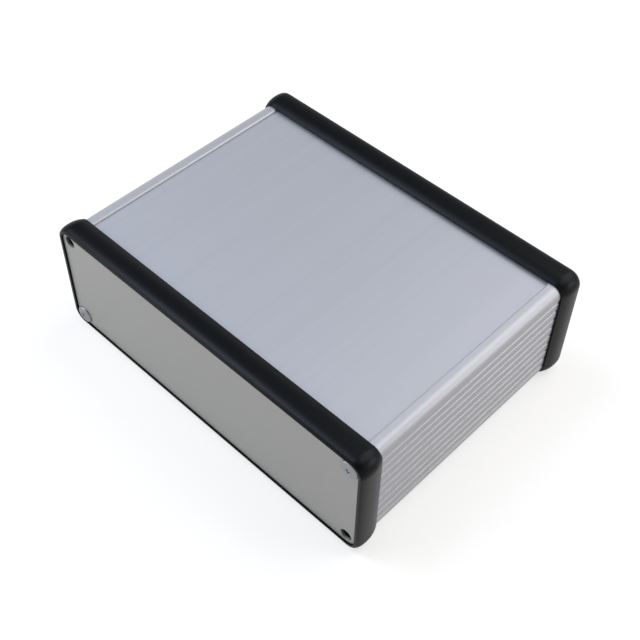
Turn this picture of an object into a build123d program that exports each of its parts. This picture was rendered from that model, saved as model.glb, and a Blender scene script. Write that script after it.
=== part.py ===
"""Extruded aluminium enclosure with a slide-in cover, moulded end bezels and flat end panels.

The origin is at the bottom centre. The extrusion runs along Y, the front panel faces -Y
and +Z is up. Lengths are in millimetres. Sections of the extrusion and its cover are drawn
about the middle of the extrusion's height. The bezel's section is drawn with the distance
from its back edge across and the distance out from the extrusion's surface upwards.
"""
import os
from math import atan2, copysign, degrees

from build123d import *

os.makedirs("parts", exist_ok=True)

# Channel extrusion
body_width = 165.0
body_height = 51.5
body_length = 120.0
body_corner_radius = 4.0
side_wall = 2.2
floor_wall = 1.8
inner_corner_radius = 1.5

# Fine V grooves along both outer sides, twice as wide as deep
groove_pitch = 4.925
groove_depth = 0.75
groove_margin = 5.5

# Edge strips that hold the cover: a lip over a slot over a ledge
strip_width = 6.7
lip_thickness = 0.9
lip_chamfer = 0.6
slot_height = 1.0
slot_depth = 1.1
ledge_thickness = 1.2
ledge_reach = 0.8

# Screw channels in the four corners of the extrusion
screw_inset_x = 4.8
screw_inset_z = 3.7
channel_bore = 3.0
channel_wall = 1.7
channel_mouth = 1.5

# Card guides inside both sides: pairs of ribs with a slot between them
card_slot = 1.8
card_rib = 1.2
card_rib_depth = 2.2
card_pitch = 7.5
card_margin = 9.0

# Slide-in cover plate
cover_thickness = 1.6
cover_gap = 0.1
cover_side_gap = 0.2

# Moulded end bezels: a skirt over the extrusion, a flange across its end and a rim
bezel_lap = 7.5
bezel_flange = 2.0
bezel_back_edge = 0.75
bezel_bulge = 2.35
bezel_crest_start = 6.2
bezel_crest_width = 0.9
bezel_front_drop = 1.6
rim_proud = 0.8
rim_inset_x = 0.2
rim_outset_z = 0.5
rim_opening_radius = 4.5
skirt_gap = 0.15
flange_width = 3.2
pad_radius = 4.6
bezel_hole = 4.0

# End panels
panel_thickness = 1.2
panel_gap = 0.1
panel_hole = 5.5
panel_edge_chamfer = 0.15

# Cross-recessed screws with a low domed head
head_diameter = 8.0
head_top_diameter = 4.8
head_height = 1.3
head_edge = 0.4
shank_diameter = 2.9
shank_length = 12.7
shank_point = 1.2
shank_tip_diameter = 1.2
recess_span = 4.0
recess_wing = 1.0
recess_depth = 1.0
recess_taper = 10

# Heights in the extrusion's section, counted from its middle
half_width = body_width / 2
half_height = body_height / 2
floor_top = floor_wall - half_height
slot_top = half_height - lip_thickness
slot_floor = slot_top - slot_height
ledge_floor = slot_floor - ledge_thickness

# Distances from the middle of the width
inner_side = half_width - side_wall
lip_edge = half_width - strip_width
slot_end = lip_edge + slot_depth
ledge_edge = lip_edge - ledge_reach

# Places along the enclosure, and the four screw axes
body_end = body_length / 2
section_middle = bezel_bulge + half_height
panel_seat = bezel_lap + bezel_flange
panel_face = panel_seat + panel_thickness
bezel_depth = panel_face + rim_proud
rim_opening_width = body_width - 2 * rim_inset_x
rim_opening_height = body_height + 2 * rim_outset_z
bezel_back_y = bezel_lap - body_end
panel_face_y = bezel_back_y - panel_face
screw_x = half_width - screw_inset_x
screw_height = half_height - screw_inset_z
screw_axes = [(x, z) for x in (-screw_x, screw_x) for z in (-screw_height, screw_height)]


def centred_row(pitch, half_span):
    """Places along a row about the middle, as many as half_span has room for."""
    count = int(half_span / pitch)
    return [pitch * step for step in range(-count, count + 1)]


def section_at(y):
    """The plane across the enclosure at y, facing the front."""
    return Plane((0, y, section_middle), x_dir=(1, 0, 0), z_dir=(0, -1, 0))


# Channel extrusion: floor, grooved sides and two edge strips, open on top between them
groove_places = centred_row(groove_pitch, half_height - groove_margin)
card_places = centred_row(card_pitch, half_height - card_margin)

with BuildPart() as body_extrusion:
    with BuildSketch(section_at(body_end)):
        RectangleRounded(body_width, body_height, body_corner_radius)
        with Locations((0, (floor_top + ledge_floor) / 2)):
            RectangleRounded(2 * inner_side, ledge_floor - floor_top, inner_corner_radius,
                             mode=Mode.SUBTRACT)
        with Locations(*screw_axes):
            Circle(channel_bore / 2 + channel_wall)
        # The way in for the cover: between the ledges, the slots and the chamfered lips
        with BuildLine():
            right = Polyline((0, ledge_floor), (ledge_edge, ledge_floor), (ledge_edge, slot_floor),
                             (slot_end, slot_floor), (slot_end, slot_top), (lip_edge, slot_top),
                             (lip_edge, half_height - lip_chamfer),
                             (lip_edge + lip_chamfer, half_height), (0, half_height))
            mirror(right, about=Plane.YZ)
        make_face(mode=Mode.SUBTRACT)
        # Screw channels are tubes with a mouth that faces the middle
        with Locations(*screw_axes):
            Circle(channel_bore / 2, mode=Mode.SUBTRACT)
        for x, z in screw_axes:
            towards_middle = degrees(atan2(copysign(1, -z), copysign(1, -x)))
            with Locations(Location((x, z), towards_middle)):
                Rectangle(channel_bore / 2 + 2 * channel_wall, channel_mouth,
                          align=(Align.MIN, Align.CENTER), mode=Mode.SUBTRACT)
        # Card guides and grooves, alike on both sides
        for side, inwards in ((-1, Align.MIN), (1, Align.MAX)):
            with Locations(*[(side * inner_side, z) for z in card_places]):
                Rectangle(card_rib_depth, card_slot + 2 * card_rib, align=(inwards, Align.CENTER))
                Rectangle(card_rib_depth, card_slot, align=(inwards, Align.CENTER),
                          mode=Mode.SUBTRACT)
            with Locations(*[(side * half_width, z) for z in groove_places]):
                RegularPolygon(groove_depth, 4, mode=Mode.SUBTRACT)
    extrude(amount=body_length)

body_extrusion.part.label = "body_extrusion"
export_step(body_extrusion.part, "parts/body_extrusion.step")

# Cover plate, with a thinner tongue along both edges that runs under the lips
cover_top = slot_top - cover_gap
tongue_thickness = slot_height - 2 * cover_gap

with BuildPart() as cover_plate:
    with BuildSketch(section_at(body_end - cover_gap)):
        with Locations((0, cover_top)):
            Rectangle(2 * (ledge_edge - cover_side_gap), cover_thickness,
                      align=(Align.CENTER, Align.MAX))
            Rectangle(2 * (slot_end - cover_side_gap), tongue_thickness,
                      align=(Align.CENTER, Align.MAX))
    extrude(amount=body_length - 2 * cover_gap)

cover_plate.part.label = "cover_plate"
export_step(cover_plate.part, "parts/cover_plate.step")

# Bezel: its bulged section follows the extrusion's outline, with a flange across the end
crest_end = bezel_crest_start + bezel_crest_width
front_reach = bezel_depth - crest_end

with BuildSketch(section_at(bezel_back_y)) as body_outline:
    RectangleRounded(body_width, body_height, body_corner_radius)
outline = body_outline.sketch.face().outer_wire()
section_plane = Plane(outline @ 0, x_dir=(0, -1, 0), z_dir=outline % 0)

with BuildPart() as front_bezel:
    with BuildSketch(section_plane) as bezel_section:
        with BuildLine():
            Polyline((bezel_depth, bezel_bulge - bezel_front_drop), (bezel_depth, 0), (0, 0),
                     (0, bezel_back_edge))
            crest = Line((bezel_crest_start, bezel_bulge), (crest_end, bezel_bulge))
            TangentArc(crest @ 0, (0, bezel_back_edge), tangent=(-1, 0))
            EllipticalCenterArc((crest_end, bezel_bulge - bezel_front_drop), front_reach,
                                bezel_front_drop, start_angle=0, arc_size=90)
        make_face()
        Rectangle(bezel_lap, skirt_gap, align=(Align.MIN, Align.MIN), mode=Mode.SUBTRACT)
    sweep(path=outline)
    with BuildSketch(section_at(-body_end)):
        RectangleRounded(body_width, body_height, body_corner_radius)
    extrude(amount=bezel_depth - bezel_lap)
    with BuildSketch(section_at(bezel_back_y - panel_seat)):
        RectangleRounded(rim_opening_width, rim_opening_height, rim_opening_radius)
    extrude(amount=bezel_depth - panel_seat, mode=Mode.SUBTRACT)
    with BuildSketch(section_at(-body_end)):
        RectangleRounded(body_width - 2 * flange_width, body_height - 2 * flange_width,
                         inner_corner_radius)
        # Corner pads carry the screws
        with BuildSketch(mode=Mode.PRIVATE) as pads:
            with Locations(*screw_axes):
                Circle(pad_radius)
        add(pads.sketch, mode=Mode.SUBTRACT)
        with Locations(*screw_axes):
            Circle(bezel_hole / 2)
    extrude(amount=bezel_flange, mode=Mode.SUBTRACT)

front_bezel.part.label = "front_bezel"
export_step(front_bezel.part, "parts/front_bezel.step")

# Panel: a flat plate in the bezel's rim with a plain hole in each corner
with BuildPart() as front_panel:
    with BuildSketch(section_at(panel_face_y + panel_thickness)):
        RectangleRounded(rim_opening_width - 2 * panel_gap, rim_opening_height - 2 * panel_gap,
                         rim_opening_radius - panel_gap)
    extrude(amount=panel_thickness)
    chamfer(front_panel.faces().sort_by(Axis.Y)[0].outer_wire().edges(), panel_edge_chamfer)
    with Locations(section_at(panel_face_y)):
        with Locations(*screw_axes):
            Hole(panel_hole / 2)

front_panel.part.label = "front_panel"
export_step(front_panel.part, "parts/front_panel.step")


def domed_screw(x, height):
    """A self-tapping screw whose head sits on the front panel at one of the screw axes."""
    seat = (x, panel_face_y, section_middle + height)
    with BuildPart() as screw:
        with BuildSketch(Plane(seat, x_dir=(1, 0, 0), z_dir=(0, 0, 1))):
            with BuildLine():
                Polyline((0, -head_height), (head_top_diameter / 2, -head_height),
                         (head_diameter / 2, -head_edge), (head_diameter / 2, 0),
                         (shank_diameter / 2, 0), (shank_diameter / 2, shank_length - shank_point),
                         (shank_tip_diameter / 2, shank_length), (0, shank_length),
                         (0, -head_height))
            make_face()
        revolve(axis=Axis(seat, (0, 1, 0)))
        with BuildSketch(section_at(panel_face_y - head_height)):
            with Locations((x, height)):
                Rectangle(recess_span, recess_wing)
                Rectangle(recess_wing, recess_span)
        extrude(amount=-recess_depth, taper=recess_taper, mode=Mode.SUBTRACT)
    return screw


front_screw_upper = domed_screw(screw_x, screw_height)
front_screw_upper.part.label = "front_screw_upper"
export_step(front_screw_upper.part, "parts/front_screw_upper.step")

front_screw_lower = domed_screw(-screw_x, -screw_height)
front_screw_lower.part.label = "front_screw_lower"
export_step(front_screw_lower.part, "parts/front_screw_lower.step")

# The rear end is the same set of pieces, turned half a turn about the vertical
half_turn = (0, 0, 180)

with BuildPart() as rear_bezel:
    add(front_bezel.part, rotation=half_turn)
rear_bezel.part.label = "rear_bezel"
export_step(rear_bezel.part, "parts/rear_bezel.step")

with BuildPart() as rear_panel:
    add(front_panel.part, rotation=half_turn)
rear_panel.part.label = "rear_panel"
export_step(rear_panel.part, "parts/rear_panel.step")

with BuildPart() as rear_screw_upper:
    add(front_screw_upper.part, rotation=half_turn)
rear_screw_upper.part.label = "rear_screw_upper"
export_step(rear_screw_upper.part, "parts/rear_screw_upper.step")

with BuildPart() as rear_screw_lower:
    add(front_screw_lower.part, rotation=half_turn)
rear_screw_lower.part.label = "rear_screw_lower"
export_step(rear_screw_lower.part, "parts/rear_screw_lower.step")
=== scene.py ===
# %% [markdown]
# # An extruded aluminium enclosure
#
# The object is a flat instrument case. Its middle is one length of aluminium extrusion, its
# lid is a flat strip that slides in from the end, and each end is closed by a flat panel in a
# moulded black bezel, held by screws with a cross recess.
#
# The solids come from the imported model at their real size. This script gives them their
# finish: softened edges, die lines, moulded grain and real screws. It ends with the floor, the
# lamps and the camera. Every length is in metres, and mm turns millimetres into metres.

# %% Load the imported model
import math

import bpy
from mathutils import Matrix, Quaternion, Vector


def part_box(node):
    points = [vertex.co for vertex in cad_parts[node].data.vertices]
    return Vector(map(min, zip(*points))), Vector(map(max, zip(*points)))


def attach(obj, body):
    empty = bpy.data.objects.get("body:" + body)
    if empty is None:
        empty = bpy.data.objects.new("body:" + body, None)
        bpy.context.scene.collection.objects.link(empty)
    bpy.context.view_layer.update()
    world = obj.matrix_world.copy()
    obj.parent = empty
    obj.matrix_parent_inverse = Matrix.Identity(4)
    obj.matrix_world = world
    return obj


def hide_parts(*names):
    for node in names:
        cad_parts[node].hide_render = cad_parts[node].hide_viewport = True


mm = 0.001
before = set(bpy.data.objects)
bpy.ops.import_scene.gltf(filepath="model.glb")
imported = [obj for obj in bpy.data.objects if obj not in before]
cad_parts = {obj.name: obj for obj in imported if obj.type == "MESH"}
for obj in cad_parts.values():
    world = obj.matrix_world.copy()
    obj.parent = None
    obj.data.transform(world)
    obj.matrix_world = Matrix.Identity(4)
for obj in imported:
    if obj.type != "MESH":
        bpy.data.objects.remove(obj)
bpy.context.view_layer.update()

# %% [markdown]
# ## Colours and nodes
#
# Colours are matched to the photograph on a screen, so they are written as screen (sRGB) hex
# values. The shader works with linear light, so one function turns them into that.
#
# Nodes could be placed and wired by hand in the node editor. In a script, one small function
# that adds a node, sets it up and links it does the same, and a material reads as a list.

# %% Colour and node helpers
def linear(hex_colour):
    """Linear red, green, blue and alpha of a hex colour such as #C0FFEE."""
    channels = [int(hex_colour[place:place + 2], 16) / 255 for place in (1, 3, 5)]
    light = [c / 12.92 if c <= 0.04045 else ((c + 0.055) / 1.055) ** 2.4 for c in channels]
    return (*light, 1.0)


def new_material(name):
    """A material whose node tree is still empty."""
    material = bpy.data.materials.new(name)
    material.use_nodes = True
    material.node_tree.nodes.clear()
    return material


def add_node(material, kind, inputs=None, **settings):
    """Adds a node. Each input gets a value, or follows an output of another node."""
    tree = material.node_tree
    node = tree.nodes.new("ShaderNode" + kind)
    for name, value in settings.items():
        setattr(node, name, value)
    for name, value in (inputs or {}).items():
        if isinstance(value, bpy.types.NodeSocket):
            tree.links.new(value, node.inputs[name])
        else:
            node.inputs[name].default_value = value
    return node


print("screen grey #808080 is", round(linear("#808080")[0], 3), "in linear light")

# %% [markdown]
# ## A recipe for finishes
#
# No real surface is one even colour. Its small changes could be painted as a picture, but
# noise needs no picture and stays sharp from close up. So every finish here is noise whose
# grain has a real size. It shades the colour, changes the roughness a little and raises small
# bumps. It follows the piece's own Object coordinates, so it stays put when the piece moves.
# Most noise lies between 0.3 and 0.7, so that stretch is drawn out to the full range.

# %% Finish recipe
noise_low = 0.3
noise_high = 0.7
bump_strength = 0.5


def grained_finish(name, grains, shades, roughness, plain, bump_depth=None, shift=(0, 0, 0)):
    """A material that follows noise, with plain values on the shader's own sockets.

    A grain is its size along X, Y and Z, its detail and its raggedness. The colour follows
    the mean of all grains. The roughness and the bumps follow the first, finest one.
    """
    material = new_material(name)
    place = add_node(material, "TexCoord").outputs["Object"]
    noises = []
    for size, detail, raggedness in grains:
        scale = [1 / length for length in size]
        scaled = add_node(material, "Mapping", {"Vector": place, "Location": shift, "Scale": scale})
        noise = add_node(material, "TexNoise", {"Vector": scaled.outputs["Vector"], "Scale": 1.0,
                                                "Detail": detail, "Roughness": raggedness})
        noises.append(noise.outputs["Fac"])
    total = noises[0]
    for other in noises[1:]:
        total = add_node(material, "Math", {0: total, 1: other}, operation="ADD").outputs[0]
    count = len(noises)
    shade = add_node(material, "MapRange", {"Value": total, "From Min": noise_low * count,
                                            "From Max": noise_high * count})
    colour = add_node(material, "Mix", {0: shade.outputs["Result"], 6: linear(shades[0]),
                                        7: linear(shades[1])}, data_type="RGBA")
    gloss = add_node(material, "MapRange", {"Value": noises[0], "From Min": noise_low,
                                            "From Max": noise_high, "To Min": roughness[0],
                                            "To Max": roughness[1]})
    inputs = {"Base Color": colour.outputs[2], "Roughness": gloss.outputs["Result"], **plain}
    if bump_depth:
        bump = add_node(material, "Bump", {"Height": noises[0], "Distance": bump_depth,
                                           "Strength": bump_strength})
        inputs["Normal"] = bump.outputs["Normal"]
    surface = add_node(material, "BsdfPrincipled", inputs)
    add_node(material, "OutputMaterial", {"Surface": surface.outputs["BSDF"]})
    print(name, "has", len(material.node_tree.nodes), "nodes")
    return material


# %% [markdown]
# ## Clear anodised aluminium, as extruded
#
# The profile and the cover are pushed through steel dies, so every surface carries fine
# straight lines along Y. They are then etched and clear anodised, which leaves a silky grey
# with a wide soft sheen. The lines could be cut into the mesh, but there are hundreds of
# them, so they are noise pulled out along the length. Real ones are finer than these, which
# are as coarse as they need to be to show in a render of the whole case.
#
# A bare metal has a Metallic of 1. A clear oxide scatters part of the light, so it is lower
# here, and 0.45 was matched to the photograph. The cover is a strip of its own, so its lines
# are shifted, and its grey is a little bluer, as it looks in the photograph.

# %% Anodised finishes
die_line = ((0.35 * mm, 160 * mm, 0.35 * mm), 2.0, 0.6)
die_streak = ((4 * mm, 320 * mm, 4 * mm), 2.0, 0.5)
die_line_depth = 0.0015 * mm
cover_shift = (37, 11, 5)
silky = {"roughness": (0.42, 0.5), "plain": {"Metallic": 0.45}, "bump_depth": die_line_depth}

extrusion_finish = grained_finish("anodised_extrusion", [die_line, die_streak],
                                  shades=("#AEADB1", "#B4B3B7"), **silky)
cover_finish = grained_finish("anodised_cover", [die_line, die_streak],
                              shades=("#AEAEB4", "#B4B4BA"), shift=cover_shift, **silky)

# %% [markdown]
# ## Etched aluminium sheet
#
# The end panels are flat sheet that looks etched matt and anodised. The surface is even and
# has no direction, and it is rougher and more neutral than the extrusion, so one round grain
# is enough for it. Its grey is set darker than the extrusion's as painted shade, for the weaker
# light on the panels' faces. Its Metallic of 0.6 was matched to the photograph. Real etching is
# much finer than half a millimetre, and this grain is as coarse as it needs to be to show.

# %% Panel finish
def round_grain(size):
    """A grain that is as long as it is wide, with a little finer detail in it."""
    detail = 3.0
    raggedness = 0.5
    return (size, size, size), detail, raggedness


sheet_grain = 0.5 * mm
sheet_grain_depth = 0.004 * mm

# Painted shade: these greys are darker than the extrusion's, for the weaker light on the panels'
# faces.
panel_finish = grained_finish("etched_aluminium_sheet", [round_grain(sheet_grain)],
                              shades=("#A09F9D", "#A6A5A3"), roughness=(0.5, 0.56),
                              plain={"Metallic": 0.6}, bump_depth=sheet_grain_depth)

# %% [markdown]
# ## Moulded black ABS
#
# The bezels look injection moulded, in a black plastic that is taken to be ABS, with an IOR of
# 1.53. A spark eroded mould leaves a fine even grain, which turns the gloss of the plastic
# into a soft sheen. Specular IOR Level was lowered from its usual 0.5 until that sheen came
# near the photograph's. Such a grain is finer than this one, which is drawn coarse to show.

# %% Bezel finish
mould_grain = 0.45 * mm
mould_grain_depth = 0.006 * mm

# The black is the plastic's own, and its faint blue tint is a painted reflection of the cool light
# from above.
bezel_finish = grained_finish("moulded_black_abs", [round_grain(mould_grain)],
                              shades=("#040508", "#07080C"), roughness=(0.32, 0.4),
                              plain={"IOR": 1.53, "Specular IOR Level": 0.12},
                              bump_depth=mould_grain_depth)

# %% [markdown]
# ## Zinc plated steel
#
# Screws of this kind are cold formed steel with a thin coat of zinc. In the photograph the
# heads are hardly brighter than the panel, so this zinc is a dull one. It is a bare metal, so
# Metallic is 1. A faint mottle is enough on a head of 8 mm, where bumps would hardly show.

# %% Screw finish
zinc_mottle = 0.6 * mm

screw_finish = grained_finish("zinc_plated_steel", [round_grain(zinc_mottle)],
                              shades=("#8A8C8D", "#959798"), roughness=(0.42, 0.52),
                              plain={"Metallic": 1.0})

# %% [markdown]
# ## Working by hand in code
#
# A modeller at the screen selects a piece, opens it in edit mode and works on what is selected
# there. These small functions do the same in code. An operator acts on whatever is selected,
# also on what an earlier step left selected, so each step first deselects everything.

# %% Picking, opening and finishing a piece
def pick(*pieces):
    """Selects these pieces only, and makes the first one active."""
    bpy.ops.object.select_all(action="DESELECT")
    for piece in pieces:
        piece.select_set(True)
    bpy.context.view_layer.objects.active = pieces[0]


def edit(piece, kind="VERT"):
    """Opens a piece in edit mode, with nothing selected."""
    pick(piece)
    bpy.ops.object.mode_set(mode="EDIT")
    bpy.ops.mesh.select_mode(type=kind)
    bpy.ops.mesh.select_all(action="DESELECT")


def leave_edit():
    """Goes back to object mode."""
    bpy.ops.object.mode_set(mode="OBJECT")


def apply_modifier(piece, kind, **settings):
    """Adds a modifier with these settings and applies it."""
    pick(piece)
    modifier = piece.modifiers.new(kind.lower(), kind)
    for name, value in settings.items():
        setattr(modifier, name, value)
    bpy.ops.object.modifier_apply(modifier=modifier.name)


print("objects that loading left selected:", len(bpy.context.selected_objects))

# %% [markdown]
# ## Edges that catch the light
#
# No edge on a real case is perfectly sharp, and it is the bright line along an edge that makes
# it look real. The edges could be rounded in the solids, but such small faces belong in the
# finish. So a copy of each solid has its loose triangles merged and its flat faces joined up,
# then a small bevel rounds each sharp edge. Smooth shading hides the facets of the round
# parts, and weighted normals keep the large flat faces looking flat right up to their bevels.
# The cut sheet of the panels has the crispest edges. Each copy stands for its solid.

# %% Softened copies of the solids
merge_distance = 0.0005 * mm
flat_angle = math.radians(0.5)
sharp_angle = math.radians(35)


def softened_copy(node, body, material, edge_radius):
    """Makes a copy of a solid with softened edges, which stands for it."""
    piece = bpy.data.objects.new(node + "_finished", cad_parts[node].data.copy())
    bpy.context.scene.collection.objects.link(piece)
    edit(piece)
    bpy.ops.mesh.select_all(action="SELECT")
    bpy.ops.mesh.remove_doubles(threshold=merge_distance)
    bpy.ops.mesh.dissolve_limited(angle_limit=flat_angle)
    leave_edit()
    apply_modifier(piece, "BEVEL", width=edge_radius, segments=2, limit_method="ANGLE",
                   angle_limit=sharp_angle, use_clamp_overlap=True)
    bpy.ops.object.shade_smooth_by_angle(angle=sharp_angle)
    apply_modifier(piece, "WEIGHTED_NORMAL", keep_sharp=True)
    piece.data.materials.clear()
    piece.data.materials.append(material)
    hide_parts(node)
    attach(piece, body)
    print(piece.name, "faces", len(piece.data.polygons))


softened_copy("body_extrusion", "case", extrusion_finish, 0.12 * mm)
softened_copy("cover_plate", "cover", cover_finish, 0.1 * mm)
for end, body in (("front", "case"), ("rear", "rear_end")):
    softened_copy(end + "_bezel", body, bezel_finish, 0.1 * mm)
    softened_copy(end + "_panel", body, panel_finish, 0.05 * mm)

# %% [markdown]
# ## The screw's domed head
#
# A screw of this kind has a wide, low head, pressed from the same wire as its shank. Its dome
# could be a flattened ball, cut off at the rim. Here a thin disc is the start, because it has
# the rim already, and its top face is drawn in and raised step by step along a flat arc. The
# screw is modelled once, upright, with the underside of its head at the world's centre.

# %% Screw head
head_radius = 4.0 * mm
head_edge = 0.35 * mm
head_height = 1.3 * mm
head_sides = 64
dome_steps = 8
dome_arc = math.radians(80)


def select_faces(piece, wanted):
    """Selects the faces of an open piece whose centre and normal pass the test."""
    bpy.ops.object.mode_set(mode="OBJECT")
    for face in piece.data.polygons:
        face.select = wanted(face.center, face.normal)
    bpy.ops.object.mode_set(mode="EDIT")


bpy.ops.object.select_all(action="DESELECT")
bpy.ops.mesh.primitive_cylinder_add(vertices=head_sides, radius=head_radius, depth=head_edge,
                                    location=(0, 0, head_edge / 2))
screw = bpy.context.object
screw.name = "domed_screw"
bpy.ops.object.transform_apply(location=True, rotation=False, scale=False)
edit(screw, "FACE")
select_faces(screw, lambda centre, normal: normal.z > 0.99)
for step in range(1, dome_steps + 1):
    turn, before = (dome_arc * count / dome_steps for count in (step, step - 1))
    bpy.ops.mesh.inset(thickness=head_radius * (math.cos(before) - math.cos(turn)))
    rise = (head_height - head_edge) * (math.sin(turn) - math.sin(before)) / math.sin(dome_arc)
    bpy.ops.transform.translate(value=(0, 0, rise))
leave_edit()
print("head vertices", len(screw.data.vertices))

# %% [markdown]
# ## The cross recess
#
# The recess is punched into the real head, and its arms narrow towards the bottom. They could
# be drawn in the dome's faces, but its rings run round the head and not along the arms. So
# two crossed bars, narrowed at the bottom, are cut out of the head by the Boolean modifier,
# and a small bevel softens the edges that they leave.

# %% Cross recess
recess_length = 4.0 * mm
recess_width = 1.0 * mm
recess_depth = 1.0 * mm
recess_taper = 0.45
recess_edge = 0.06 * mm
recess_sharp_angle = math.radians(50)

for quarter in (0, 1):
    bpy.ops.object.select_all(action="DESELECT")
    bpy.ops.mesh.primitive_cube_add(size=1, location=(0, 0, head_height))
    bar = bpy.context.object
    bar.scale = (recess_length, recess_width, 2 * recess_depth)
    bar.rotation_euler.z = math.radians(90) * quarter
    bpy.ops.object.transform_apply(location=True, rotation=True, scale=True)
    edit(bar, "FACE")
    select_faces(bar, lambda centre, normal: normal.z < -0.5)
    bpy.ops.transform.resize(value=(recess_taper, recess_taper, 1))
    leave_edit()
    apply_modifier(screw, "BOOLEAN", object=bar, operation="DIFFERENCE", solver="EXACT")
    bpy.data.objects.remove(bar)
apply_modifier(screw, "BEVEL", width=recess_edge, segments=2, limit_method="ANGLE",
               angle_limit=recess_sharp_angle)
print("vertices with the recess", len(screw.data.vertices))

# %% [markdown]
# ## The shank
#
# The shank is a rod with a short blunt point. It shows only when an end is taken off. A cone
# could be added under a cylinder, but then two pieces have to meet. So the cylinder's own
# bottom face is raised, pulled down again as a new length, and drawn in to the point.

# %% Shank with a point
shank_radius = 1.15 * mm
shank_length = 12.7 * mm
shank_sides = 32
point_length = 1.6 * mm
point_radius = 0.3 * mm

bpy.ops.object.select_all(action="DESELECT")
bpy.ops.mesh.primitive_cylinder_add(vertices=shank_sides, radius=shank_radius, depth=shank_length,
                                    location=(0, 0, -shank_length / 2))
shank = bpy.context.object
bpy.ops.object.transform_apply(location=True, rotation=False, scale=False)
edit(shank, "FACE")
select_faces(shank, lambda centre, normal: normal.z < -0.9)
bpy.ops.transform.translate(value=(0, 0, point_length))
bpy.ops.mesh.extrude_region_move(TRANSFORM_OT_translate={"value": (0, 0, -point_length)})
bpy.ops.transform.resize(value=[point_radius / shank_radius] * 2 + [1])
leave_edit()
print("shank vertices", len(shank.data.vertices))

# %% [markdown]
# ## The thread
#
# A self-tapping screw has one sharp ridge wound round its shank. It could be rings stacked up
# the shank, but they wouldn't climb. The Screw modifier winds an outline and lifts it as it
# goes. The outline is that of a small upright plane, narrowed at its outer edge, and a
# positive rise gives a right-hand thread. Its two ends are closed and sunk into the shank.

# %% Thread
crest_radius = 1.44 * mm
ridge_sunk = 0.1 * mm
ridge_base = 0.85 * mm
crest_share = 0.15
thread_pitch = 1.3 * mm
thread_turns = 8
steps_a_turn = 24
plain_above_point = 0.3 * mm
tiny = 0.001 * mm

thread_bottom = point_length - shank_length + plain_above_point
ridge_inner = shank_radius - ridge_sunk
ridge_height = crest_radius - ridge_inner


def select_edges(piece, wanted):
    """Selects the edges of an open piece whose two end points pass the test."""
    bpy.ops.object.mode_set(mode="OBJECT")
    points = piece.data.vertices
    for edge in piece.data.edges:
        edge.select = wanted(*[points[index].co for index in edge.vertices])
    bpy.ops.object.mode_set(mode="EDIT")


bpy.ops.object.select_all(action="DESELECT")
bpy.ops.mesh.primitive_plane_add(size=1, rotation=(math.radians(90), 0, 0),
                                 location=(ridge_inner + ridge_height / 2, 0, thread_bottom))
thread = bpy.context.object
thread.scale = (ridge_height, ridge_base, 1)
bpy.ops.object.transform_apply(location=True, rotation=True, scale=True)
edit(thread, "EDGE")
select_edges(thread, lambda a, b: min(a.x, b.x) > shank_radius)
bpy.ops.transform.resize(value=(1, 1, crest_share))
bpy.ops.mesh.select_all(action="SELECT")
bpy.ops.mesh.delete(type="ONLY_FACE")
leave_edit()
apply_modifier(thread, "SCREW", angle=math.radians(360), screw_offset=thread_pitch,
               iterations=thread_turns, steps=steps_a_turn, render_steps=steps_a_turn,
               use_merge_vertices=True, merge_threshold=tiny)
edit(thread, "FACE")
bpy.ops.mesh.select_all(action="SELECT")
bpy.ops.mesh.fill_holes(sides=4)
bpy.ops.mesh.select_all(action="SELECT")
bpy.ops.mesh.normals_make_consistent(inside=False)
select_faces(thread, lambda centre, normal: abs(centre.y) < tiny and abs(normal.y) > 0.5)
bpy.ops.transform.translate(value=(-ridge_height, 0, 0))
leave_edit()
print("thread vertices", len(thread.data.vertices))

# %% [markdown]
# ## Four screws in their places
#
# Each end is held by two screws, in opposite corners. Each could be modelled in its place, but
# they are alike, so one screw is joined and copied four times, each copy with its own mesh.
# The box of the solid that a copy stands for gives its seat, which is one head's height in
# from the outside. A screw stops wherever it is tight, so each cross has its own angle.

# %% Place the screws
stop_angles = {"front_screw_upper": 21, "front_screw_lower": 68,
               "rear_screw_upper": 49, "rear_screw_lower": 5}
lay_down = Matrix.Rotation(math.radians(90), 4, "X")

pick(screw, shank, thread)
bpy.ops.object.join()
bpy.ops.object.shade_smooth_by_angle(angle=sharp_angle)
screw.data.materials.clear()
screw.data.materials.append(screw_finish)

for node, stop_angle in stop_angles.items():
    at_rear = node.startswith("rear")
    low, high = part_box(node)
    seat_y = high.y - head_height if at_rear else low.y + head_height
    seat = Vector(((low.x + high.x) / 2, seat_y, (low.z + high.z) / 2))
    piece = bpy.data.objects.new(node + "_finished", screw.data.copy())
    bpy.context.scene.collection.objects.link(piece)
    pick(piece)
    face_out = Matrix.Rotation(math.radians(180 if at_rear else 0), 4, "Z")
    stop = Matrix.Rotation(math.radians(stop_angle), 4, "Z")
    piece.matrix_world = Matrix.Translation(seat) @ face_out @ lay_down @ stop
    bpy.ops.object.transform_apply(location=True, rotation=True, scale=True)
    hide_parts(node)
    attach(piece, "rear_end" if at_rear else "case")
    print(piece.name, "seat in mm", [round(length / mm, 3) for length in seat])
bpy.data.objects.remove(screw)

# %% [markdown]
# ## Floor
#
# The case stands on a plain sweep, as in a photographer's studio. A flat plane would show its
# far edge as a horizon, so the floor curves up into a low wall all round. It starts as a flat
# disc, and its outer edge is pulled out and up step by step, along a quarter of a circle.

# %% Sweep
floor_radius = 1.1
floor_sides = 96
wall_bend = 0.4
wall_height = 0.5
bend_steps = 8

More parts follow.
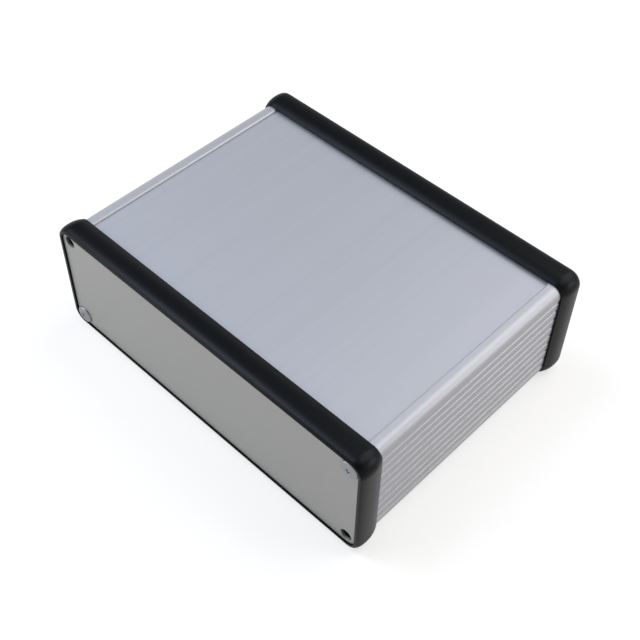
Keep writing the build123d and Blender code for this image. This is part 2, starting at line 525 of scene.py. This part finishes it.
bpy.ops.object.select_all(action="DESELECT")
bpy.ops.mesh.primitive_circle_add(vertices=floor_sides, radius=floor_radius, fill_type="NGON")
sweep = bpy.context.object
sweep.name = "studio_sweep"
edit(sweep, "EDGE")
bpy.ops.mesh.select_all(action="SELECT")
radius = floor_radius
for step in range(1, bend_steps + 1):
    turn, before = (math.radians(90) * count / bend_steps for count in (step, step - 1))
    wider = floor_radius + wall_bend * math.sin(turn)
    rise = wall_bend * (math.cos(before) - math.cos(turn))
    select_edges(sweep, lambda a, b: min(a.xy.length, b.xy.length) > radius - mm)
    bpy.ops.mesh.extrude_edges_move(TRANSFORM_OT_translate={"value": (0, 0, rise)})
    bpy.ops.transform.resize(value=(wider / radius, wider / radius, 1), center_override=(0, 0, 0))
    radius = wider
bpy.ops.mesh.extrude_edges_move(TRANSFORM_OT_translate={"value": (0, 0, wall_height)})
leave_edit()
bpy.ops.object.shade_smooth()
print("sweep faces", len(sweep.data.polygons))

# %% [markdown]
# ## Paint of the sweep
#
# The background has to be white. More lamp light on a white floor would bleach the case too.
# So the paint is a light grey, and a light of its own brings it up to white. Only the camera,
# reflections and clear parts see that light. So the metal mirrors a white studio, matt faces
# aren't brightened by it, and the case's soft shadow stays on the floor.

# %% Sweep paint
paint_light = 0.65

sweep_paint = new_material("matt_sweep_paint")
ray = add_node(sweep_paint, "LightPath")
seen = ray.outputs["Is Camera Ray"]
for kind in ("Is Glossy Ray", "Is Transmission Ray"):
    either = add_node(sweep_paint, "Math", {0: seen, 1: ray.outputs[kind]}, operation="MAXIMUM")
    seen = either.outputs[0]
own_light = add_node(sweep_paint, "Math", {0: seen, 1: paint_light}, operation="MULTIPLY")
paint = add_node(sweep_paint, "BsdfPrincipled",
                 {"Base Color": linear("#A9A7A4"), "Roughness": 0.9, "Specular IOR Level": 0.0,
                  "Emission Color": linear("#FFFFFF"), "Emission Strength": own_light.outputs[0]})
add_node(sweep_paint, "OutputMaterial", {"Surface": paint.outputs["BSDF"]})
sweep.data.materials.append(sweep_paint)
print("paint is", round(linear("#A9A7A4")[0], 2), "of white, and its own light", paint_light)

# %% [markdown]
# ## Light
#
# One bright lamp would light the case, but metal looks like metal only where it mirrors both
# light and dark, and its shadow would be hard. So the case stands in a dim and slightly cool
# world, like a studio, among four softboxes. A large one behind it on the right gives the
# rounded corner its highlight, one from the front left lights the panel, a cooler one high on
# the left draws the soft band along the front bezel, and a small low one on the right picks
# out the grooves.

# %% World and softboxes
world_strength = 0.3

world = bpy.data.worlds.new("studio")
world.use_nodes = True
background = world.node_tree.nodes["Background"]
background.inputs["Color"].default_value = linear("#F4F8FF")
background.inputs["Strength"].default_value = world_strength
bpy.context.scene.world = world


def softbox(name, towards, distance, size, watts, colour="#FFFFFF"):
    """A square lamp that faces the case from one direction. Distance and size in metres."""
    lamp = bpy.data.lights.new(name, "AREA")
    lamp.size = size
    lamp.energy = watts
    lamp.color = linear(colour)[:3]
    holder = bpy.data.objects.new(name, lamp)
    bpy.context.scene.collection.objects.link(holder)
    direction = Vector(towards).normalized()
    holder.location = direction * distance
    holder.rotation_mode = "QUATERNION"
    holder.rotation_quaternion = (-direction).to_track_quat("-Z", "Y")
    print(name, "at", [round(length, 2) for length in holder.location])


softbox("softbox_back_right", (0.24, 0.54, 0.81), distance=0.9, size=0.75, watts=4.9)
softbox("softbox_front_left", (-0.64, -0.67, 0.4), distance=0.72, size=0.5, watts=2.15)
softbox("softbox_left_high", (-0.44, -0.2, 0.87), distance=0.9, size=0.4, watts=3.7,
        colour="#D8EAFF")
softbox("softbox_right_low", (0.8, 0.5, 0.36), distance=0.9, size=0.3, watts=1.3)

# %% [markdown]
# ## Camera
#
# The camera could be placed by eye, but a small error in its place tilts every line a little.
# So its direction, distance, lens and slight roll come from fitting the case's straight edges
# to the photograph. Its sensor shift is the small offset of the picture's centre. Angles are
# in degrees, and the lens and the sensor are in Blender's own millimetres.

# %% Camera
azimuth = math.radians(43.146)
elevation = math.radians(48.682)
roll = math.radians(1.141)
aim = Vector((6.3, -4.1, 28.1)) * mm
aim_distance = 453.2 * mm

camera_data = bpy.data.cameras.new("camera")
camera_data.lens = 61.79
camera_data.sensor_width = 36.0
camera_data.shift_x = 0.0016
camera_data.shift_y = -0.0161
camera = bpy.data.objects.new("camera", camera_data)
bpy.context.scene.collection.objects.link(camera)
back = Vector((math.sin(azimuth) * math.cos(elevation), -math.cos(azimuth) * math.cos(elevation),
               math.sin(elevation)))
camera.location = aim + back * aim_distance
camera.rotation_mode = "QUATERNION"
camera.rotation_quaternion = (-back).to_track_quat("-Z", "Y") @ Quaternion((0, 0, 1), roll)
bpy.context.scene.camera = camera
bpy.context.scene.view_settings.view_transform = "Standard"
print("camera at", [round(length, 4) for length in camera.location])
